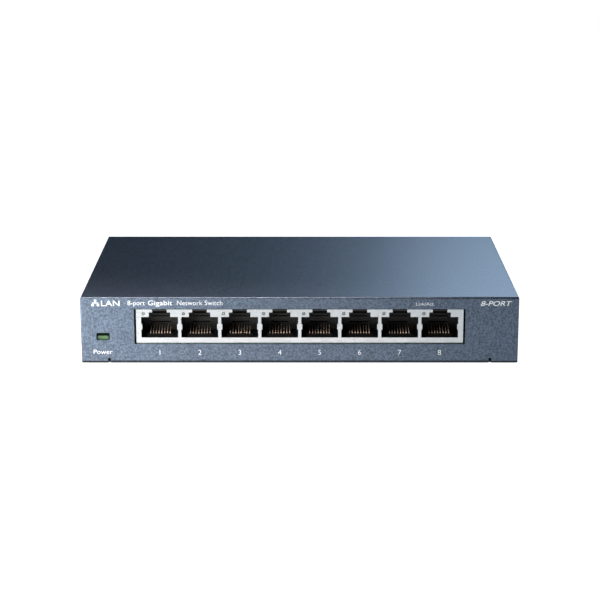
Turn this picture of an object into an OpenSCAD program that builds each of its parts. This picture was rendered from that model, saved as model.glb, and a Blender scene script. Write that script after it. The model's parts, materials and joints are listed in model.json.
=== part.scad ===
// Eight-port desktop network switch in a folded steel case.
// Frame: +Z up, front wall faces -Y, origin under the middle of the case on the desk. Millimetres.

/* [Case] */
// Width of the case, left to right
case_w = 158; // [157:0.5:164]
// Depth of the case, front wall to rear wall
case_d = 101; // [100.5:0.5:110]
// Height of the sheet-metal case, without its feet
case_h = 24.6; // [24.5:0.1:30]
// Height of the rubber feet, which hold the case off the desk
foot_h = 0.8; // [0.7:0.1:2]
// Thickness of the folded steel sheet
sheet_t = 0.8; // [0.7:0.1:0.9]
// Outer radius of the folds round the top
bend_r = 0.7; // [0.6:0.1:1.2]
// Radius of the lower edges and of the upright corners
edge_r = 0.6; // [0.4:0.1:0.7]

/* [Front wall] */
// Width of the port window
window_w = 119.4; // [118.8:0.1:121]
// Length of the power lamp's window
lamp_window_w = 4.85; // [4.4:0.05:6]
// Height of the power lamp's window
lamp_window_h = 2.7; // [2.4:0.05:3]
// Distance from the left side of the case to the middle of the power lamp
lamp_inset = 8; // [7.5:0.1:8.5]
// Distance from the middle of the case to each relief notch
notch_x = 68.9; // [66:0.1:70]
// Width of each relief notch
notch_w = 1.1; // [0.8:0.05:1.2]

/* [Ports] */
// Distance from one port's centre to the next
port_pitch = 14.45; // [14.4:0.05:14.6]
// Width of the plug's opening
port_w = 13.3; // [13:0.05:13.3]
// Height of the plug's opening, without the latch steps
port_h = 7.7; // [7.6:0.01:7.8]
// Depth of the plug's cavity behind the shield's face
port_depth = 11.2; // [11:0.1:12]
// Width of the latch step
latch_w = 7.75; // [7.5:0.05:8]
// Width of the latch tip's keyway
keyway_w = 5.3; // [5:0.05:5.5]
// Distance from one contact to the next
contact_pitch = 1.016; // [1:0.002:1.03]
// Angle at which a free contact rises from its bend
contact_rise = 15; // [13:0.5:17]

/* [Jack block] */
// Width of the shielded jack block
jack_w = 118.1; // [118:0.1:118.6]
// Height of the shielded jack block
jack_h = 12.6; // [12.5:0.1:12.8]
// Depth of the shielded jack block
jack_d = 16.6; // [16:0.1:17]
// Thickness of the shield
shield_t = 0.25; // [0.2:0.05:0.3]

/* [Board] */
// Height of the standoffs under the circuit board
standoff_h = 4.75; // [4:0.05:4.75]
// Thickness of the circuit board
board_t = 1.6; // [1.2:0.1:1.6]
// Width of the circuit board between its front ears
board_w = 136; // [134:0.5:136]

/* [Power inlet] */
// Distance of the power inlet's axis to the right of the middle
inlet_x = 60; // [58:0.5:60]
// Diameter of the inlet's centre pin
inlet_pin_d = 2.0; // [1.95:0.05:2.5]
// Diameter of the inlet's barrel
inlet_bore_d = 6.4; // [6.2:0.1:6.6]
// Diameter of the inlet's hole in the rear wall
inlet_hole_d = 9.2; // [8.6:0.1:9.6]

/* [Under the case] */
// Distance between the two wall-mount keyholes
keyhole_spacing = 100; // [90:1:104]
// Diameter of each keyhole's entry
keyhole_d = 7.2; // [6.6:0.1:8]
// Width of each keyhole's slot
keyhole_slot_w = 3.6; // [3.2:0.1:4]
// Diameter of each foot
foot_d = 10; // [8:0.5:12]

/* [Hidden] */
$fn = 48;

eps = 0.01;
port_count = 8;
wire_count = 8;

// heights, from the desk up
case_top = foot_h + case_h;
base_top = foot_h + sheet_t;
board_under = base_top + standoff_h;
board_top = board_under + board_t;
jack_z = board_top + 0.05;
port_floor = jack_z + 2.1;
port_roof = port_floor + port_h;
latch_roof = port_roof + 1.7;
keyway_roof = jack_z + jack_h - 0.6;
port_lamp_z = jack_z + 11.05;

// depths, front to rear
front_y = -case_d / 2;
rear_y = case_d / 2;
wall_gap = 0.2;
jack_face_y = front_y + sheet_t + wall_gap;
housing_y = jack_face_y + shield_t;
jack_rear_y = jack_face_y + jack_d;
cavity_end = jack_face_y + port_depth;
board_front_y = jack_face_y + 0.5;
board_rear_y = rear_y - sheet_t - 0.7;

// case details
inner_w = case_w - 2 * sheet_t;
inner_d = case_d - 2 * sheet_t;
fold_gap = 0.15;
base_gap = 0.25;
tongue_half = notch_x - notch_w / 2;
notch_top = base_top + 1.2;
tab_gap = 0.1;
tab_l = 14;
tab_inner_x = board_w / 2 + 1.3;
cover_screw_x = 73.5;
cover_screw_y = 28;
cover_screw_r = 1.45;
vent_count = 11;
vent_pitch = 5.4;
vent_w = 2.2;
vent_h = 11;
lamp_x = -case_w / 2 + lamp_inset;
lamp_window_z = board_top + 2.8;
foot_x = 66;
foot_y = 39;

// ports
shell_wall = 0.3;
port_lamp_dx = -5.8;
port_lamp_r = 0.5;
port_lamp_tip_r = 0.33;
port_lamp_bore_r = 0.6;
port_lamp_tip_l = 1.5;
port_lamp_leg_y = jack_rear_y + 1.1;
tongue_reach = 0.35;
tongue_z = port_floor + 3;
tongue_h = 2;
contact_bend_y = jack_face_y + 3.3;
contact_bend_z = port_floor + 0.95;
contact_l = 6.1;
wire_t = 0.34;
eye_r = 0.27;
insert_w = 9.4;
insert_gap = 0.08;
insert_top = port_floor + 0.1;
insert_front_y = contact_bend_y - 1;
lip_t = 0.4;

// board fixings
board_screw_x = 63;
board_screw_y = [-28, 29];
board_screw_r = 1.25;
ear_x = case_w / 2 - 5;
ear_l = 8;

// power inlet
inlet_z = board_top + 6.5;
inlet_y = rear_y - sheet_t - 0.35;
inlet_l = 14;
inlet_w = 9;
inlet_h = 11;
inlet_bore_l = 10;
spring_pivot_y = inlet_y - inlet_bore_l + 0.7;
spring_pivot_z = inlet_z - inlet_bore_d / 2 - 0.5;
spring_l = 7;
spring_rise = 7;

function port_x(n) = (n - (port_count + 1) / 2) * port_pitch;

// ---------- shared shapes ----------

// A box centred on x and y that stands on z
module block(w, d, h, at = [0, 0, 0]) {
    translate([at[0] - w / 2, at[1] - d / 2, at[2]])
        cube([w, d, h]);
}

// A box from one corner to the opposite one
module span(a, b) {
    translate(a)
        cube(b - a);
}

// A rectangle standing on its lower edge, with round corners
module round_panel(w, h, top_r, low_r) {
    translate([-w / 2, low_r])
        square([w, h - top_r - low_r]);
    translate([-w / 2 + top_r, h - top_r])
        square([w - 2 * top_r, top_r]);
    translate([-w / 2 + low_r, 0])
        square([w - 2 * low_r, low_r]);
    for (side = [-1, 1]) {
        translate([side * (w / 2 - top_r), h - top_r])
            circle(r = top_r);
        translate([side * (w / 2 - low_r), low_r])
            circle(r = low_r);
    }
}

// An oblong hole's outline, longer along y
module oblong(w, l) {
    square([w, l - w], center = true);
    for (side = [-1, 1])
        translate([0, side * (l - w) / 2])
            circle(d = w);
}

// The outside of the folded case
module case_envelope() {
    intersection() {
        translate([0, 0, foot_h])
            rotate([90, 0, 0])
                linear_extrude(case_d + 2, center = true)
                    round_panel(case_w, case_h, bend_r, edge_r);
        translate([0, 0, foot_h])
            rotate([90, 0, 90])
                linear_extrude(case_w + 2, center = true)
                    round_panel(case_d, case_h, bend_r, edge_r);
        translate([0, -case_d / 2, 0])
            linear_extrude(case_top + 1)
                round_panel(case_w, case_d, edge_r, edge_r);
    }
}

// A screw with a low round head, standing head down with its head's top at z = 0
module low_screw(shank_r, shank_l, head_r, head_h) {
    difference() {
        cylinder(r = head_r, h = head_h);
        for (turn = [0, 90])
            rotate([0, 0, turn])
                block(head_r * 1.2, 0.5, head_h * 0.7, [0, 0, -eps]);
    }
    translate([0, 0, head_h - eps])
        cylinder(r = shank_r, h = shank_l + eps);
}

// ---------- case ----------

module front_openings() {
    translate([-window_w / 2, front_y - 1, board_top - 0.05])
        cube([window_w, sheet_t + 2, jack_h + 0.55]);
    translate([lamp_x, front_y + sheet_t + 1, lamp_window_z - lamp_window_h / 2])
        rotate([90, 0, 0])
            linear_extrude(sheet_t + 2)
                round_panel(lamp_window_w, lamp_window_h, 0.6, 0.6);
}

module rear_openings() {
    translate([inlet_x, rear_y + 1, inlet_z])
        rotate([90, 0, 0])
            cylinder(d = inlet_hole_d, h = sheet_t + 2);
    translate([-inlet_x, rear_y + 1, board_top + 3.5])
        rotate([90, 0, 0])
            linear_extrude(sheet_t + 2)
                round_panel(7, 3, 0.6, 0.6);
}

// The lower edge of the front or rear wall, where the base plate's tongue fits under it
module fold_relief() {
    span([-notch_x, front_y - 1, 0], [notch_x, front_y + sheet_t + eps, base_top + fold_gap]);
    for (side = [-1, 1])
        translate([side * notch_x, front_y + sheet_t + eps, 0])
            rotate([90, 0, 0])
                linear_extrude(sheet_t + 1)
                    translate([0, notch_top - 2])
                        oblong(notch_w, 4);
}

module side_vents() {
    for (side = [-1, 1], n = [1 : vent_count])
        translate([side * case_w / 2, (n - (vent_count + 1) / 2) * vent_pitch, board_top + 6])
            rotate([90, 0, 90])
                linear_extrude(4 * sheet_t, center = true)
                    oblong(vent_w, vent_h);
}

module cover_tabs() {
    for (side_x = [-1, 1], side_y = [-1, 1])
        difference() {
            block(case_w / 2 - tab_inner_x - sheet_t / 2, tab_l, sheet_t,
                [side_x * (case_w / 2 + tab_inner_x - sheet_t / 2) / 2,
                side_y * cover_screw_y, base_top + tab_gap]);
            translate([side_x * cover_screw_x, side_y * cover_screw_y, base_top])
                cylinder(r = cover_screw_r + 0.05, h = 2);
        }
}

module top_cover() {
    color("slategray") {
        difference() {
            case_envelope();
            block(inner_w, inner_d, case_top - sheet_t);
            front_openings();
            rear_openings();
            fold_relief();
            mirror([0, 1, 0])
                fold_relief();
            side_vents();
        }
        cover_tabs();
    }
}

module keyhole() {
    cylinder(d = keyhole_d, h = 4, center = true);
    linear_extrude(4, center = true)
        translate([0, keyhole_d / 2 + 1.5])
            oblong(keyhole_slot_w, keyhole_d + 3);
}

module base_plate() {
    color("lightslategray")
        difference() {
            intersection() {
                case_envelope();
                union() {
                    block(inner_w - 2 * base_gap, inner_d - 2 * base_gap, sheet_t,
                        [0, 0, foot_h]);
                    block(2 * tongue_half, case_d, sheet_t, [0, 0, foot_h]);
                }
            }
            for (side = [-1, 1])
                translate([side * keyhole_spacing / 2, -4, base_top])
                    keyhole();
            for (side_x = [-1, 1], side_y = [-1, 1])
                translate([side_x * cover_screw_x, side_y * cover_screw_y, base_top])
                    cylinder(r = cover_screw_r + 0.25, h = 4, center = true);
        }
}

module cover_screws() {
    head_h = 0.6;
    color("silver")
        for (side_x = [-1, 1], side_y = [-1, 1])
            translate([side_x * cover_screw_x, side_y * cover_screw_y, foot_h - head_h])
                low_screw(cover_screw_r, 3.6, 2.4, head_h);
}

module foot(x, y) {
    lip = 0.25;
    color("dimgray")
        translate([x, y, 0])
            rotate_extrude()
                polygon([[0, 0], [foot_d / 2 - lip, 0], [foot_d / 2, lip],
                    [foot_d / 2, foot_h], [0, foot_h]]);
}

module blank_label() {
    color("white")
        block(64, 30, 0.1, [0, 8, foot_h - 0.1]);
}

// ---------- circuit board ----------

module board_spots() {
    for (side = [-1, 1], y = board_screw_y)
        translate([side * board_screw_x, y, 0])
            children();
}

module board_standoffs() {
    color("silver")
        board_spots()
            translate([0, 0, base_top])
                difference() {
                    cylinder(r = 2.6, h = standoff_h);
                    translate([0, 0, 0.6])
                        cylinder(r = board_screw_r + 0.05, h = standoff_h);
                }
}

module board_screws() {
    head_h = 1.7;
    color("silver")
        board_spots()
            translate([0, 0, board_top + head_h])
                mirror([0, 0, 1])
                    low_screw(board_screw_r, board_t + standoff_h - 1, 2.7, head_h);
}

module circuit_board() {
    color("darkgreen")
        difference() {
            union() {
                span([-board_w / 2, board_front_y, board_under],
                    [board_w / 2, board_rear_y, board_top]);
                span([-ear_x, board_front_y, board_under],
                    [ear_x, board_front_y + ear_l, board_top]);
            }
            board_spots()
                cylinder(r = board_screw_r + 0.45, h = board_top + 1);
            contact_spots()
                block(wire_t + 0.08, wire_t + 0.08, board_top + 1);
            inlet_terminal_bars(0.06);
        }
}

// ---------- jack block ----------

// The plug's way in, with its latch steps, as the shield's face shows it
module port_outline() {
    translate([-port_w / 2, port_floor])
        square([port_w, port_h]);
    translate([-latch_w / 2, port_floor])
        square([latch_w, latch_roof - port_floor]);
    translate([-keyway_w / 2, port_floor])
        square([keyway_w, jack_z + jack_h + 1 - port_floor]);
}

module port_cavity() {
    span([-port_w / 2, housing_y - 1, port_floor], [port_w / 2, cavity_end, port_roof]);
    span([-latch_w / 2, housing_y - 1, port_floor], [latch_w / 2, cavity_end, latch_roof]);
    span([-keyway_w / 2, housing_y - 1, port_floor], [keyway_w / 2, cavity_end, keyway_roof]);
    span([-latch_w / 2 + 0.4, cavity_end - 1, port_floor + 2.8],
        [latch_w / 2 - 0.4, cavity_end + 3, latch_roof]);
}

// Two bars across the back of a cavity, over the free ends of the contacts: [from, to] heights
cavity_bar_heights = [[3.4, 5.1], [5.5, 6.3]];

module cavity_bars() {
    for (bar = cavity_bar_heights)
        span([-latch_w / 2, cavity_end - 0.5, port_floor + bar[0]],
            [latch_w / 2, cavity_end + eps, port_floor + bar[1]]);
}

module jack_housing() {
    low_z = jack_z + 0.05;
    color([0.07, 0.07, 0.08])
        difference() {
            span([-jack_w / 2 + shell_wall, housing_y, low_z],
                [jack_w / 2 - shell_wall, jack_rear_y, jack_z + jack_h - shell_wall]);
            for (n = [1 : port_count])
                translate([port_x(n), 0, 0]) {
                    difference() {
                        port_cavity();
                        cavity_bars();
                    }
                    span([-insert_w / 2 - insert_gap, insert_front_y - insert_gap, low_z - 1],
                        [insert_w / 2 + insert_gap, contact_bend_y + 7, port_floor + eps]);
                    translate([port_lamp_dx, housing_y - 1, port_lamp_z])
                        rotate([-90, 0, 0])
                            cylinder(r = port_lamp_bore_r, h = jack_d + 2);
                }
        }
}

// A tongue of the shield, bent back into the side of a port's opening
module ground_tongue() {
    span([port_w / 2 - tongue_reach, jack_face_y + 0.05, tongue_z],
        [port_w / 2 + eps, housing_y, tongue_z + tongue_h]);
    span([port_w / 2 - tongue_reach, housing_y - eps, tongue_z],
        [port_w / 2 - 0.05, housing_y + 1.2, tongue_z + tongue_h]);
}

module jack_shield() {
    top_z = jack_z + jack_h;
    color([0.86, 0.87, 0.88]) {
        difference() {
            span([-jack_w / 2, jack_face_y, jack_z], [jack_w / 2, jack_rear_y, top_z]);
            span([-jack_w / 2 + shield_t, housing_y, jack_z - 1],
                [jack_w / 2 - shield_t, jack_rear_y + 1, top_z - shield_t]);
            for (n = [1 : port_count])
                translate([port_x(n), 0, 0]) {
                    translate([0, housing_y, 0])
                        rotate([90, 0, 0])
                            linear_extrude(1)
                                port_outline();
                    span([-keyway_w / 2, jack_face_y - 1, top_z - 1],
                        [keyway_w / 2, housing_y + 0.9, top_z + 1]);
                    translate([port_lamp_dx, jack_face_y - 1, port_lamp_z])
                        rotate([-90, 0, 0])
                            cylinder(r = port_lamp_bore_r, h = 2);
                }
        }
        for (n = [1 : port_count], side = [0, 1])
            translate([port_x(n), 0, 0])
                mirror([side, 0, 0])
                    ground_tongue();
    }
}

// Each insert carries its port's wires, with a lip in front of their bends
module contact_inserts() {
    color([0.1, 0.1, 0.11])
        for (n = [1 : port_count])
            translate([port_x(n), 0, 0])
                difference() {
                    union() {
                        span([-insert_w / 2, insert_front_y, jack_z + 0.05],
                            [insert_w / 2, contact_bend_y + 6.9, insert_top]);
                        span([-insert_w / 2, insert_front_y, insert_top - eps],
                            [insert_w / 2, insert_front_y + lip_t, contact_bend_z - 0.1]);
                    }
                    for (k = [1 : wire_count])
                        block(wire_t + 0.1, wire_t + 0.1, 4,
                            [wire_x(k), contact_bend_y, jack_z - 1]);
                }
}

function wire_x(k) = (k - (wire_count + 1) / 2) * contact_pitch;

module contact_spots() {
    for (n = [1 : port_count], k = [1 : wire_count])
        translate([port_x(n) + wire_x(k), contact_bend_y, 0])
            children();
}

// The fixed lengths of the contact wires, from under the board up to the bend
module contact_tails() {
    low_z = board_under - 0.8;
    color([0.8, 0.62, 0.38])
        contact_spots()
            block(wire_t, wire_t, contact_bend_z - eye_r - 0.17 - low_z, [0, 0, low_z]);
}

// The springing lengths of one port's contact wires, which turn at the bend
module port_contacts(n) {
    color([0.85, 0.66, 0.4])
        for (k = [1 : wire_count])
            translate([port_x(n) + wire_x(k), contact_bend_y, contact_bend_z]) {
                rotate([0, 90, 0])
                    cylinder(r = eye_r, h = wire_t, center = true);
                rotate([contact_rise, 0, 0])
                    span([-wire_t / 2, 0, eye_r - 0.3], [wire_t / 2, contact_l, eye_r]);
            }
}

// A light pipe from the board's lamp up behind the jack block and forward to its face
module port_light_pipe(n) {
    low_z = board_top + 0.8;
    color([0.75, 0.9, 0.78])
        translate([port_x(n) + port_lamp_dx, 0, 0]) {
            translate([0, jack_face_y, port_lamp_z])
                rotate([-90, 0, 0])
                    cylinder(r = port_lamp_tip_r, h = port_lamp_tip_l + eps);
            translate([0, jack_face_y + port_lamp_tip_l, port_lamp_z])
                rotate([-90, 0, 0])
                    cylinder(r = port_lamp_r,
                        h = port_lamp_leg_y - jack_face_y - port_lamp_tip_l);
            translate([0, port_lamp_leg_y, port_lamp_z])
                sphere(r = port_lamp_r);
            translate([0, port_lamp_leg_y, low_z])
                cylinder(r = port_lamp_r, h = port_lamp_z - low_z);
        }
}

module port_lamps() {
    color([0.9, 0.95, 0.85])
        for (n = [1 : port_count])
            block(1.6, 0.8, 0.6, [port_x(n) + port_lamp_dx, port_lamp_leg_y, board_top]);
}

module power_lamp() {
    color([0.9, 0.95, 0.85])
        block(1.6, 0.8, 0.6, [lamp_x, board_front_y + 3.6, board_top]);
}

// The power lamp's lens, which stands on the board behind its window
module power_lamp_lens() {
    lens_w = lamp_window_w - 0.8;
    lens_h = 1.6;
    lens_z = lamp_window_z - 0.75;
    lens_x = lamp_x - 0.15;
    face_y = jack_face_y + 0.05;
    color([0.35, 0.85, 0.4]) {
        translate([lens_x, face_y + 3, lens_z - lens_h / 2])
            rotate([90, 0, 0])
                linear_extrude(3)
                    round_panel(lens_w, lens_h, 0.5, 0.5);
        span([lens_x - lens_w / 2, face_y + 1.2, board_top],
            [lens_x + lens_w / 2, face_y + 3, lens_z]);
    }
}

// ---------- on the board ----------

chip_at = [0, 2];
chip_h = 1.4;
pad_t = 0.5;
sink_base = 1.6;

module switch_chip() {
    color([0.13, 0.13, 0.14]) {
        block(20, 14, chip_h, [chip_at[0], chip_at[1], board_top + 0.1]);
        for (side = [-1, 1], k = [-12 : 12])
            block(0.3, 1.4, 0.16, [chip_at[0] + k * 0.75, chip_at[1] + side * 7.7, board_top]);
    }
}

module thermal_pad() {
    color([0.55, 0.6, 0.66])
        block(18, 12, pad_t, [chip_at[0], chip_at[1], board_top + 0.1 + chip_h]);
}

module heat_sink() {
    sink_w = 24;
    fins = 8;
    fin_t = 1;
    sink_z = board_top + 0.1 + chip_h + pad_t;
    color([0.75, 0.76, 0.78]) {
        block(sink_w, sink_w, sink_base, [chip_at[0], chip_at[1], sink_z]);
        for (k = [0 : fins - 1])
            block(fin_t, sink_w, 6,
                [chip_at[0] - (sink_w - fin_t) / 2 + k * (sink_w - fin_t) / (fins - 1),
                chip_at[1], sink_z + sink_base - eps]);
    }
}

module magnetics(n) {
    x = (n - 2.5) * 2 * port_pitch;
    y = port_lamp_leg_y + 11;
    color([0.1, 0.1, 0.1]) {
        block(15.4, 12, 5.6, [x, y, board_top + 0.25]);
        for (side = [-1, 1], k = [-5.5 : 1 : 5.5])
            block(0.5, 1.6, 0.25, [x + k * 1.2, y + side * 6.6, board_top]);
    }
}

// A crystal in an oblong can
module crystal() {
    color([0.78, 0.78, 0.76])
        translate([-24, 2, board_top]) {
            rotate([0, 0, 90])
                linear_extrude(0.5)
                    oblong(5, 11.4);
            rotate([0, 0, 90])
                linear_extrude(3.6)
                    oblong(4.2, 10.4);
        }
}

// A small chip with leads along its two long sides
module small_chip(w, d, h, leads, at) {
    block(w, d, h, [at[0], at[1], board_top + 0.1]);
    for (side = [-1, 1], k = [0 : leads - 1])
        block(0.4, 1, 0.18,
            [at[0] + (k - (leads - 1) / 2) * 1.27, at[1] + side * (d / 2 + 0.4), board_top]);
}

module flash_chip() {
    color([0.13, 0.13, 0.14])
        small_chip(5, 4, 1.5, 4, [24, 4]);
}

module voltage_regulator() {
    color([0.13, 0.13, 0.14])
        small_chip(5, 4, 1.5, 4, [22, 38]);
}

module power_inductor() {
    color([0.28, 0.28, 0.3])
        translate([33, 38, board_top]) {
            block(7, 7, 1);
            translate([0, 0, 1 - eps])
                cylinder(r = 3.3, h = 3);
        }
}

// An electrolytic can capacitor on its square seat
module can_capacitor(at, r, h) {
    color([0.8, 0.81, 0.82])
        translate([at[0], at[1], board_top]) {
            block(2 * r + 0.3, 2 * r + 0.3, 0.9);
            translate([0, 0, 0.9 - eps])
                rotate_extrude()
                    polygon([[0, 0], [r, 0], [r, 0.8], [r - 0.25, 1.05], [r, 1.3],
                        [r, h - 0.3], [r - 0.3, h], [0, h]]);
        }
}

module input_fuse() {
    color([0.3, 0.5, 0.35])
        block(4.5, 3.2, 1, [52, 27, board_top]);
}

module input_diode() {
    color([0.15, 0.15, 0.16])
        block(4.4, 2.6, 2.1, [52, 21, board_top]);
}

// Chip capacitors round the switch chip and along the supply
module chip_capacitors() {
    color([0.72, 0.6, 0.45]) {
        for (side = [-1, 1], k = [-3 : 3])
            block(0.8, 1.6, 0.8, [chip_at[0] + k * 3.6, chip_at[1] + side * 15, board_top]);
        for (k = [0 : 4])
            block(1.6, 0.8, 0.8, [14 + k * 3.5, 31, board_top]);
    }
}

// Termination resistors between the jack block and the magnetics
module chip_resistors() {
    color([0.1, 0.1, 0.12])
        for (n = [1 : port_count], k = [-1.5 : 1 : 1.5])
            block(0.8, 1.6, 0.45,
                [port_x(n) + k * 1.6, port_lamp_leg_y + 2.2, board_top]);
}

// ---------- power inlet ----------

module inlet_body() {
    bore_end = inlet_y - inlet_bore_l;
    color([0.07, 0.07, 0.08])
        difference() {
            span([inlet_x - inlet_w / 2, inlet_y - inlet_l, board_top],
                [inlet_x + inlet_w / 2, inlet_y, board_top + inlet_h]);
            translate([inlet_x, inlet_y + 1, inlet_z])
                rotate([90, 0, 0])
                    cylinder(d = inlet_bore_d, h = inlet_bore_l + 1);
            translate([inlet_x, bore_end + 1, inlet_z])
                rotate([90, 0, 0])
                    cylinder(r = inlet_pin_d / 2 + 0.3, h = inlet_l);
            span([inlet_x - 1.6, bore_end, spring_pivot_z - 0.6],
                [inlet_x + 1.6, inlet_y - 1.6, inlet_z - 2]);
        }
}

module inlet_pin() {
    tip_l = 0.6;
    free_l = inlet_bore_l - 1 - tip_l;
    r = inlet_pin_d / 2;
    color([0.85, 0.8, 0.65])
        translate([inlet_x, inlet_y - inlet_bore_l, inlet_z])
            rotate([-90, 0, 0]) {
                rotate_extrude()
                    polygon([[0, -eps], [r, -eps], [r, free_l], [r * 0.5, free_l + tip_l],
                        [0, free_l + tip_l]]);
                translate([0, 0, -3])
                    cylinder(r = r + 0.28, h = 3);
            }
}

// The leaf that presses on the plug's barrel; it turns at its inner end
module inlet_spring() {
    leaf_t = 0.3;
    color([0.85, 0.66, 0.4])
        translate([inlet_x, spring_pivot_y, spring_pivot_z]) {
            rotate([0, 90, 0])
                cylinder(r = 0.3, h = 2.2, center = true);
            rotate([spring_rise, 0, 0]) {
                span([-1.1, 0, -leaf_t / 2], [1.1, spring_l, leaf_t / 2]);
                translate([0, spring_l - 0.8, 0])
                    rotate([0, 90, 0])
                        cylinder(r = 0.4, h = 2.2, center = true);
            }
        }
}

// Two bars across and one along, each as much larger all round as grow says
module inlet_terminal_bars(grow) {
    low_z = board_under - 1;
    bar_h = board_top - low_z + grow;
    for (y = [inlet_y - inlet_l + 0.4, inlet_y - 7.5])
        block(2.4 + 2 * grow, 0.5 + 2 * grow, bar_h, [inlet_x, y, low_z]);
    block(0.5 + 2 * grow, 2.4 + 2 * grow, bar_h, [inlet_x - 3.8, inlet_y - 10, low_z]);
}

// The inlet's three solder terminals, through the board
module inlet_terminals() {
    color([0.82, 0.82, 0.8])
        inlet_terminal_bars(0);
}

top_cover();
base_plate();
cover_screws();
foot(-foot_x, -foot_y);  // foot_front_left
foot(foot_x, -foot_y);  // foot_front_right
foot(-foot_x, foot_y);  // foot_rear_left
foot(foot_x, foot_y);  // foot_rear_right
blank_label();
board_standoffs();
board_screws();
circuit_board();
jack_housing();
jack_shield();
contact_inserts();
contact_tails();
port_contacts(1);  // port_1_contacts
port_contacts(2);  // port_2_contacts
port_contacts(3);  // port_3_contacts
port_contacts(4);  // port_4_contacts
port_contacts(5);  // port_5_contacts
port_contacts(6);  // port_6_contacts
port_contacts(7);  // port_7_contacts
port_contacts(8);  // port_8_contacts
port_light_pipe(1);  // port_1_light_pipe
port_light_pipe(2);  // port_2_light_pipe
port_light_pipe(3);  // port_3_light_pipe
port_light_pipe(4);  // port_4_light_pipe
port_light_pipe(5);  // port_5_light_pipe
port_light_pipe(6);  // port_6_light_pipe
port_light_pipe(7);  // port_7_light_pipe
port_light_pipe(8);  // port_8_light_pipe
port_lamps();
power_lamp();
power_lamp_lens();
switch_chip();
thermal_pad();
heat_sink();
magnetics(1);  // magnetics_1
magnetics(2);  // magnetics_2
magnetics(3);  // magnetics_3
magnetics(4);  // magnetics_4
crystal();
flash_chip();
voltage_regulator();
power_inductor();
can_capacitor([44, 39], 3.15, 7.2);  // capacitor_1
can_capacitor([44, 30], 3.15, 7.2);  // capacitor_2
can_capacitor([-34, 26], 3.15, 7.2);  // capacitor_3
input_fuse();
input_diode();
chip_capacitors();
chip_resistors();
inlet_body();
inlet_pin();
inlet_spring();
inlet_terminals();
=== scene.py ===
"""Looks for the desktop network switch: materials, lettering, contact wires, light and camera."""
import json
import math

import bmesh
import bpy
from mathutils import Matrix, Vector


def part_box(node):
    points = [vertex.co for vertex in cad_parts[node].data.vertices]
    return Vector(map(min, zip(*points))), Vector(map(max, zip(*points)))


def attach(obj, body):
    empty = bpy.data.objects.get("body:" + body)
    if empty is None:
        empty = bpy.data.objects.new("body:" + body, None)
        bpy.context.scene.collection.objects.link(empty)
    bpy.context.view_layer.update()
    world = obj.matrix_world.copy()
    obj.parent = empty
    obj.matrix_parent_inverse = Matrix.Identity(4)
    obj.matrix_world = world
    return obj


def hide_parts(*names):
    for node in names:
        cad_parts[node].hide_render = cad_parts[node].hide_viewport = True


MM = 0.001
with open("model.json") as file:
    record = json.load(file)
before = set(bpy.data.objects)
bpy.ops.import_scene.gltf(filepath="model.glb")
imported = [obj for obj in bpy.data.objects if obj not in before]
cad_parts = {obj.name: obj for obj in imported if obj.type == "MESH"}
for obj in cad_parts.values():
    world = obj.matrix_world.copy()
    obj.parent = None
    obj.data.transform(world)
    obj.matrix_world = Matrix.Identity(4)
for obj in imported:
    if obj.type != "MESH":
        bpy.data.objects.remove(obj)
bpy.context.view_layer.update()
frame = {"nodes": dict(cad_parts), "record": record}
record = frame["record"]

COVER = "cover"
PORTS = range(1, 9)
WIRES = 8

case_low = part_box("top_cover")[0]
front_y = case_low.y
case_floor = case_low.z
joints = {j["name"]: j for j in record["behaviour"]["joints"]}


# ---------- material nodes ----------

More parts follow.
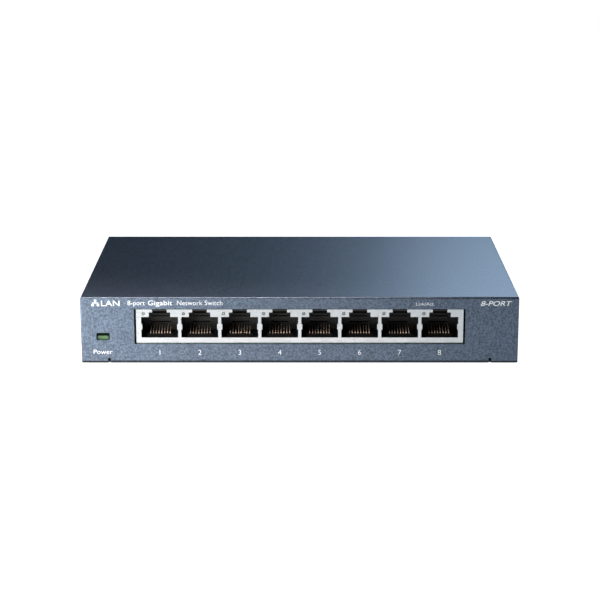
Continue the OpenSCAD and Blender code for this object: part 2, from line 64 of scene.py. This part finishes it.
class Nodes:
    """A material's node tree, with short calls for the few nodes that the finishes use."""

    def __init__(self, name):
        self.material = bpy.data.materials.new(name)
        self.material.use_nodes = True
        self.tree = self.material.node_tree
        self.shader = self.tree.nodes["Principled BSDF"]
        self.coords = self.tree.nodes.new("ShaderNodeTexCoord").outputs["Object"]

    def link(self, output, node, socket):
        self.tree.links.new(output, node.inputs[socket])

    def set(self, **values):
        for name, value in values.items():
            self.shader.inputs[name.replace("_", " ")].default_value = value

    def add(self, kind, **values):
        node = self.tree.nodes.new("ShaderNode" + kind)
        for name, value in values.items():
            setattr(node, name, value)
        return node

    def noise(self, size_mm, detail=2.0, stretch=(1, 1, 1)):
        """Noise with features of that size, drawn out along an axis by stretch."""
        mapping = self.add("Mapping")
        mapping.inputs["Scale"].default_value = [1 / s for s in stretch]
        self.link(self.coords, mapping, "Vector")
        texture = self.add("TexNoise")
        texture.inputs["Scale"].default_value = 1 / (size_mm * MM)
        texture.inputs["Detail"].default_value = detail
        self.link(mapping.outputs["Vector"], texture, "Vector")
        return texture.outputs["Fac"]

    def ramp(self, fac, stops):
        """Colours along fac; stops are (position, colour) pairs."""
        node = self.add("ValToRGB")
        elements = node.color_ramp.elements
        while len(elements) < len(stops):
            elements.new(0.5)
        for element, (position, colour) in zip(elements, stops):
            element.position = position
            element.color = (*colour, 1)
        self.link(fac, node, "Fac")
        return node.outputs["Color"]

    def span(self, fac, low, high, to_low, to_high):
        """fac carried from low..high to to_low..to_high, and held at the ends."""
        node = self.add("MapRange")
        self.link(fac, node, "Value")
        for name, value in zip(("From Min", "From Max", "To Min", "To Max"),
                               (low, high, to_low, to_high)):
            node.inputs[name].default_value = value
        return node.outputs["Result"]

    def mix(self, fac, first, second):
        """A blend of two colour outputs or plain colours."""
        node = self.add("Mix", data_type="RGBA")
        self.link(fac, node, "Factor")
        for socket, value in ((node.inputs[6], first), (node.inputs[7], second)):
            if isinstance(value, bpy.types.NodeSocket):
                self.tree.links.new(value, socket)
            else:
                socket.default_value = (*value, 1)
        return node.outputs[2]

    def colour(self, output):
        self.link(output, self.shader, "Base Color")

    def roughness(self, fac, low, high):
        self.link(self.span(fac, 0.3, 0.7, low, high), self.shader, "Roughness")

    def bump(self, height, depth_mm, strength=0.5):
        node = self.add("Bump")
        node.inputs["Strength"].default_value = strength
        node.inputs["Distance"].default_value = depth_mm * MM
        self.link(height, node, "Height")
        self.link(node.outputs["Normal"], self.shader, "Normal")


def shade(colour, factor):
    return tuple(c * factor for c in colour)


def fleck_paint(name, base, shade_band=None):
    """Metallic paint with fine flecks. Given a (dark, clear) pair of heights, its colour darkens
    below them as painted shade along the case's lower edge.
    """
    contrast = 0.45
    shade_tone = 0.12
    n = Nodes(name)
    fleck = n.noise(0.55, 3, (1, 3, 1))
    cloud = n.noise(14, 2)
    colour = n.ramp(fleck, [(0.32, shade(base, 1 - contrast)), (0.5, base),
                            (0.68, shade(base, 1 + contrast))])
    colour = n.mix(n.span(cloud, 0.3, 0.7, 0, 0.12), colour, shade(base, 0.85))
    # Painted shade: the colour darkens towards the case's lower edge, standing in for the shade
    # along the bottom of the case.
    if shade_band:
        height = n.add("SeparateXYZ")
        n.link(n.coords, height, "Vector")
        low = n.span(height.outputs["Z"], shade_band[0], shade_band[1], 1, 0)
        colour = n.mix(low, colour, shade(base, shade_tone))
    n.colour(colour)
    n.roughness(fleck, 0.36, 0.46)
    n.bump(fleck, 0.05, 0.4)
    n.set(Metallic=0.75)
    return n.material


def plated_steel(name, base, rough=(0.22, 0.34), grain=(14, 1, 1)):
    """Plated sheet with a faint rolled grain."""
    n = Nodes(name)
    lines = n.noise(0.35, 4, grain)
    cloud = n.noise(6, 3)
    colour = n.ramp(lines, [(0.3, shade(base, 0.93)), (0.7, shade(base, 1.04))])
    n.colour(n.mix(n.span(cloud, 0.35, 0.7, 0, 0.35), colour, shade(base, 0.9)))
    n.roughness(cloud, *rough)
    n.bump(lines, 0.004, 0.3)
    n.set(Metallic=1.0)
    return n.material


def moulded(name, base, rough=(0.42, 0.58), spread=0.25, grain=0.18, **values):
    """Moulded plastic or rubber with a fine matt grain."""
    n = Nodes(name)
    grit = n.noise(grain, 2)
    cloud = n.noise(4, 2)
    n.colour(n.ramp(cloud, [(0.3, shade(base, 1 - spread)), (0.7, shade(base, 1 + spread))]))
    n.roughness(grit, *rough)
    n.bump(grit, 0.01, 0.25)
    n.set(**values)
    return n.material


def spring_metal(name, base):
    """Gold-plated spring wire with duller patches, under a thin film that scatters light."""
    n = Nodes(name)
    wear = n.noise(0.9, 2, (1, 3, 1))
    n.colour(n.ramp(wear, [(0.3, shade(base, 0.72)), (0.7, base)]))
    n.roughness(wear, 0.42, 0.52)
    n.set(Metallic=0.75)
    return n.material


def circuit_laminate(name):
    """Solder mask over copper tracks that run along and across the board."""
    mask, track = (0.006, 0.075, 0.035), (0.016, 0.15, 0.07)
    n = Nodes(name)
    tracks = None
    for stretch in ((9, 0.7, 1), (0.7, 9, 1)):
        lines = n.span(n.noise(1.5, 0, stretch), 0.53, 0.56, 0, 1)
        if tracks is None:
            tracks = lines
        else:
            both = n.add("Math", operation="MAXIMUM")
            n.tree.links.new(tracks, both.inputs[0])
            n.tree.links.new(lines, both.inputs[1])
            tracks = both.outputs[0]
    n.colour(n.mix(tracks, mask, track))
    n.bump(tracks, 0.03, 0.5)
    n.roughness(n.noise(3), 0.25, 0.4)
    return n.material


def light_guide(name, base, painted_glow):
    """Tinted clear plastic, cloudy enough to show its own colour, with a faint painted glow of
    that colour.
    """
    n = Nodes(name)
    haze = n.noise(0.6, 2)
    n.colour(n.ramp(haze, [(0.3, shade(base, 0.8)), (0.7, base)]))
    n.roughness(haze, 0.12, 0.3)
    # Painted glow: the plastic emits a little of its own colour, though it is no lamp.
    n.set(IOR=1.49, Transmission_Weight=0.25, Emission_Color=(*base, 1), Emission_Strength=painted_glow)
    return n.material


PAINT = (0.071, 0.098, 0.14)
# Heights of the painted shade along the case's lower edge: fully dark below the first, clear
# above the second.
COVER_SHADE_BAND = (case_floor + 0.72 * MM, case_floor + 0.92 * MM)
# How far the base plate's paint is darkened: painted shade for the dark line of shade at its
# front edge under the case.
BASE_PLATE_SHADE_TONE = 0.25
FINISHES = {
    "case_paint": fleck_paint("blue_grey_paint", PAINT, COVER_SHADE_BAND),
    "shield_steel": plated_steel("tinned_shield", (0.43, 0.465, 0.49)),
    "steel": plated_steel("zinc_plated_steel", (0.6, 0.61, 0.63), (0.25, 0.4), (1, 1, 1)),
    "heat_sink_aluminium": plated_steel("extruded_aluminium", (0.7, 0.71, 0.73), (0.3, 0.42),
                                        (1, 20, 1)),
    "can_aluminium": plated_steel("drawn_aluminium", (0.78, 0.79, 0.8), (0.2, 0.3), (1, 1, 1)),
    "foot_rubber": moulded("foot_rubber", (0.022, 0.022, 0.023), (0.7, 0.85), grain=0.3),
    "label_film": moulded("label_film", (0.75, 0.76, 0.76), (0.35, 0.45), 0.04),
    "board_laminate": circuit_laminate("circuit_laminate"),
    "black_plastic": moulded("black_plastic", (0.0045, 0.0052, 0.0055),
                             Specular_IOR_Level=0.32),
    "chip_plastic": moulded("chip_plastic", (0.02, 0.02, 0.021), (0.5, 0.62)),
    "contact_gold": spring_metal("contact_gold", (0.9, 0.7, 0.58)),
    "terminal_tin": plated_steel("tinned_terminal", (0.7, 0.7, 0.69), (0.25, 0.4), (1, 1, 1)),
    "light_pipe_clear": light_guide("light_pipe_plastic", (0.36, 0.42, 0.37), 0.01),
    "lamp_lens_green": light_guide("green_lens", (0.05, 0.125, 0.05), 0.03),
    "lamp_body": moulded("lamp_body", (0.75, 0.76, 0.62), (0.2, 0.3), 0.1),
    "thermal_silicone": moulded("thermal_silicone", (0.4, 0.45, 0.52), (0.6, 0.75), 0.08),
    "ceramic_chip": moulded("ceramic_chip", (0.42, 0.3, 0.18), (0.4, 0.5), 0.12),
    "ferrite": moulded("ferrite", (0.035, 0.035, 0.038), (0.5, 0.65)),
}
# Nodes that look different from the rest of their material slot
NODE_FINISHES = {
    # Painted shade: the base plate's paint is darkened throughout, standing in for the shade
    # along its front edge under the case.
    "base_plate": fleck_paint("base_plate_painted_shade", shade(PAINT, BASE_PLATE_SHADE_TONE)),
    "contact_inserts": moulded("insert_plastic", (0.003, 0.003, 0.003), (0.75, 0.9),
                               Specular_IOR_Level=0.1),
}


def dress_nodes():
    """Every CAD node that stays takes the finish of its material slot, or one of its own."""
    slots = {s["node"]: s["material_slot"] for s in record["subparts"]}
    for name, obj in frame["nodes"].items():
        obj.data.materials.clear()
        obj.data.materials.append(NODE_FINISHES.get(name) or FINISHES[slots[name]])


# ---------- pieces ----------

def new_piece(name, mesh, finish, body):
    obj = bpy.data.objects.new(name, mesh)
    bpy.context.scene.collection.objects.link(obj)
    mesh.materials.append(finish)
    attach(obj, body)
    return obj


def tube(bm, path, radius, sides=10):
    """A round wire along path, narrower at its ends."""
    end_taper = 0.55
    rings = []
    last = len(path) - 1
    for i, point in enumerate(path):
        ahead = (path[min(i + 1, last)] - path[max(i - 1, 0)]).normalized()
        across = Vector((1, 0, 0))
        up = ahead.cross(across).normalized()
        r = radius * (end_taper if i in (0, last) else 1)
        rings.append([bm.verts.new(point + r * (math.cos(a) * across + math.sin(a) * up))
                      for a in (2 * math.pi * k / sides for k in range(sides))])
    for near, far in zip(rings, rings[1:]):
        for k in range(sides):
            bm.faces.new((near[k], near[(k + 1) % sides], far[(k + 1) % sides], far[k]))
    bm.faces.new(reversed(rings[0]))
    bm.faces.new(rings[-1])


def finish_mesh(bm, name, smooth=True):
    bmesh.ops.recalc_face_normals(bm, faces=bm.faces)
    for face in bm.faces:
        face.smooth = smooth
    mesh = bpy.data.meshes.new(name)
    bm.to_mesh(mesh)
    bm.free()
    return mesh


def wire_path(pivot, tip):
    """A contact's line: round the front of its bend, then straight up and back to its tip."""
    bend_r = 0.2 * MM
    bend_steps = 6
    rise = math.atan2(tip.z - pivot.z, tip.y - pivot.y)
    points = []
    for k in range(bend_steps + 1):
        turn = -math.pi / 2 - (math.pi - rise) * k / bend_steps
        points.append(pivot + bend_r * Vector((0, math.cos(turn), math.sin(turn))))
    return points + [tip]


def contact_wires(port):
    """The port's eight sprung wires, in place of their plain CAD bars."""
    radius = 0.17 * MM
    tip_inset = 0.1 * MM
    node = f"port_{port}_contacts"
    low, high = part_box(node)
    joint = joints[f"port_{port}_contact_spring"]
    pivot_y, pivot_z = joint["pos_m"][1:]
    pitch = (high.x - low.x - 2 * radius) / (WIRES - 1)
    bm = bmesh.new()
    for k in range(WIRES):
        x = low.x + radius + k * pitch
        pivot = Vector((x, pivot_y, pivot_z))
        tip = Vector((x, high.y - tip_inset, high.z - radius))
        tube(bm, wire_path(pivot, tip), radius)
    mesh = finish_mesh(bm, f"port_{port}_wires_mesh")
    obj = new_piece(f"port_{port}_sprung_wires", mesh, FINISHES["contact_gold"], joint["child"])
    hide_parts(node)


# ---------- lettering ----------

INK_T = 0.03 * MM
THIN = -0.01
FONT_CAP = 0.72
FONT_DEPTH = 0.01


def ink_material():
    n = Nodes("white_ink")
    grit = n.noise(0.2, 2)
    n.colour(n.ramp(grit, [(0.3, (0.46, 0.51, 0.56)), (0.7, (0.58, 0.62, 0.66))]))
    n.roughness(grit, 0.4, 0.55)
    n.bump(grit, 0.005, 0.2)
    return n.material


INK = ink_material()


def text_mesh(text, height, width, bold, slant):
    """Closed letters on the plane y = 0, standing on z = 0 and centred on x = 0."""
    curve = bpy.data.curves.new("letters", "FONT")
    curve.body = text
    curve.size = 1
    curve.extrude = FONT_DEPTH
    curve.offset = bold
    curve.shear = slant
    curve.resolution_u = 6
    maker = bpy.data.objects.new("letters", curve)
    bpy.context.scene.collection.objects.link(maker)
    bpy.context.view_layer.update()
    drawn = maker.evaluated_get(bpy.context.evaluated_depsgraph_get())
    mesh = bpy.data.meshes.new_from_object(drawn)
    bpy.data.objects.remove(maker)
    bpy.data.curves.remove(curve)
    xs = [v.co.x for v in mesh.vertices]
    middle = (min(xs) + max(xs)) / 2
    scale_z = height / FONT_CAP
    scale_x = width / (max(xs) - min(xs)) if width else scale_z
    for v in mesh.vertices:
        y = -v.co.z / FONT_DEPTH * INK_T / 2
        v.co = Vector(((v.co.x - middle) * scale_x, y, v.co.y * scale_z))
    return mesh


def print_on_front(name, mesh, x, z):
    """Ink raised a few hundredths of a millimetre on the front wall."""
    mesh.transform(Matrix.Translation((x, front_y - INK_T / 2, z)))
    mesh.validate()
    return new_piece(name, mesh, INK, COVER)


def network_glyph(size):
    """One box linked to two below it: the usual sign for a local network."""
    line = 0.11
    reach = 0.4
    box_w, box_h = 0.34, 0.3
    parts = [(0, 0.84, box_w, box_h), (-reach, 0.15, box_w, box_h), (reach, 0.15, box_w, box_h)]
    parts += [(0, 0.6, line, 0.24), (0, 0.49, 2 * reach + line, line)]
    parts += [(-reach, 0.38, line, 0.2), (reach, 0.38, line, 0.2)]
    bm = bmesh.new()
    for x, z, w, h in parts:
        place = Matrix.Translation((x * size, 0, z * size))
        place @= Matrix.Diagonal((w * size, INK_T, h * size, 1))
        bmesh.ops.create_cube(bm, size=1, matrix=place)
    return finish_mesh(bm, "network_glyph", smooth=False)


def word(name, text, x, z, height, width=None, bold=THIN, slant=0.0):
    """A printed word. In millimetres: its middle, its baseline above the floor, and its size."""
    mesh = text_mesh(text, height * MM, width * MM if width else None, bold, slant)
    print_on_front(name, mesh, x * MM, z * MM)


def lettering():
    """Generic words and numbers, where such a case is printed."""
    print_on_front("print_network_sign", network_glyph(2.4 * MM), -73.5 * MM, 22.1 * MM)
    word("print_lan", "LAN", x=-68.1, z=22.15, height=2.1, width=6.6, bold=0.0)
    line = {"z": 22.45, "height": 1.8}
    word("print_port_count", "8-port", x=-58.8, width=6.2, **line)
    word("print_speed", "Gigabit", x=-50.2, width=8.7, bold=0.0, **line)
    word("print_kind", "Network Switch", x=-35.95, width=16.3, **line)
    word("print_link_caption", "Link/Act", x=45.0, z=22.3, height=1.3, width=6.3)
    word("print_ports_caption", "8-PORT", x=70.7, z=22.2, height=1.85, width=11.2,
         bold=0.012, slant=0.25)
    word("print_power_caption", "Power", x=-71.15, z=4.2, height=1.75, width=6.8)
    for port in PORTS:
        port_x = joints[f"port_{port}_contact_spring"]["pos_m"][0]
        word(f"print_port_{port}", str(port), x=port_x / MM, z=3.9, height=1.95)


# ---------- studio ----------

def aim(obj, target):
    obj.rotation_euler = (Vector(target) - obj.location).to_track_quat("-Z", "Y").to_euler()


def soft_light(name, place, target, size, power, colour, spread=180):
    """A rectangular area light. Its spread is the full angle of its beam in degrees."""
    light = bpy.data.lights.new(name, "AREA")
    light.shape = "RECTANGLE"
    light.size, light.size_y = size
    light.energy = power
    light.color = colour
    light.spread = math.radians(spread)
    obj = bpy.data.objects.new(name, light)
    bpy.context.scene.collection.objects.link(obj)
    obj.location = place
    aim(obj, target)


def pale_floor():
    """A floor that glows enough to stay white round the case."""
    half = 6
    bm = bmesh.new()
    bmesh.ops.create_grid(bm, x_segments=1, y_segments=1, size=half)
    n = Nodes("pale_floor")
    tone = n.noise(300, 2)
    n.colour(n.ramp(tone, [(0.3, (0.48, 0.48, 0.48)), (0.7, (0.52, 0.52, 0.52))]))
    n.set(Roughness=0.8, Emission_Color=(1, 1, 1, 1), Emission_Strength=1.0)
    floor = bpy.data.objects.new("floor", finish_mesh(bm, "floor", smooth=False))
    floor.data.materials.append(n.material)
    bpy.context.scene.collection.objects.link(floor)


def studio_light():
    """A dim world, a panel behind to the right, one in front to the left, and a strip above
    the fold along the front of the case's top."""
    world = bpy.data.worlds.new("studio")
    bpy.context.scene.world = world
    world.use_nodes = True
    backdrop = world.node_tree.nodes["Background"]
    backdrop.inputs["Color"].default_value = (0.75, 0.8, 1.0, 1)
    backdrop.inputs["Strength"].default_value = 0.05
    soft_light("rear_right_panel", place=(0.285, 0.455, 0.36), target=(0.05, 0, 0.02),
               size=(0.5, 0.3), power=2.6, colour=(0.65, 0.83, 1))
    soft_light("front_left_panel", place=(-0.17, -0.155, 0.04), target=(-0.075, -0.05, 0.01),
               size=(0.2, 0.1), power=0.32, colour=(1, 0.95, 0.88), spread=90)
    soft_light("fold_strip", place=(-0.11, -0.11, 0.37), target=(-0.103, -0.064, 0.025),
               size=(0.3, 0.03), power=0.09, colour=(1, 0.8, 0.72), spread=17)


def front_camera():
    """A long lens straight in front, looking a little down."""
    elevation = math.radians(14.53)
    distance = 706.5 * MM
    target = Vector((0.1 * MM, 0, 11.3 * MM))
    camera_data = bpy.data.cameras.new("camera")
    camera_data.sensor_width = 36
    camera_data.lens = 109.3
    camera_data.clip_end = 20
    camera = bpy.data.objects.new("camera", camera_data)
    bpy.context.scene.collection.objects.link(camera)
    camera.location = target + distance * Vector((0, -math.cos(elevation), math.sin(elevation)))
    aim(camera, target)
    bpy.context.scene.camera = camera
    bpy.context.scene.view_settings.view_transform = "Standard"


dress_nodes()
for port in PORTS:
    contact_wires(port)
lettering()
pale_floor()
studio_light()
front_camera()
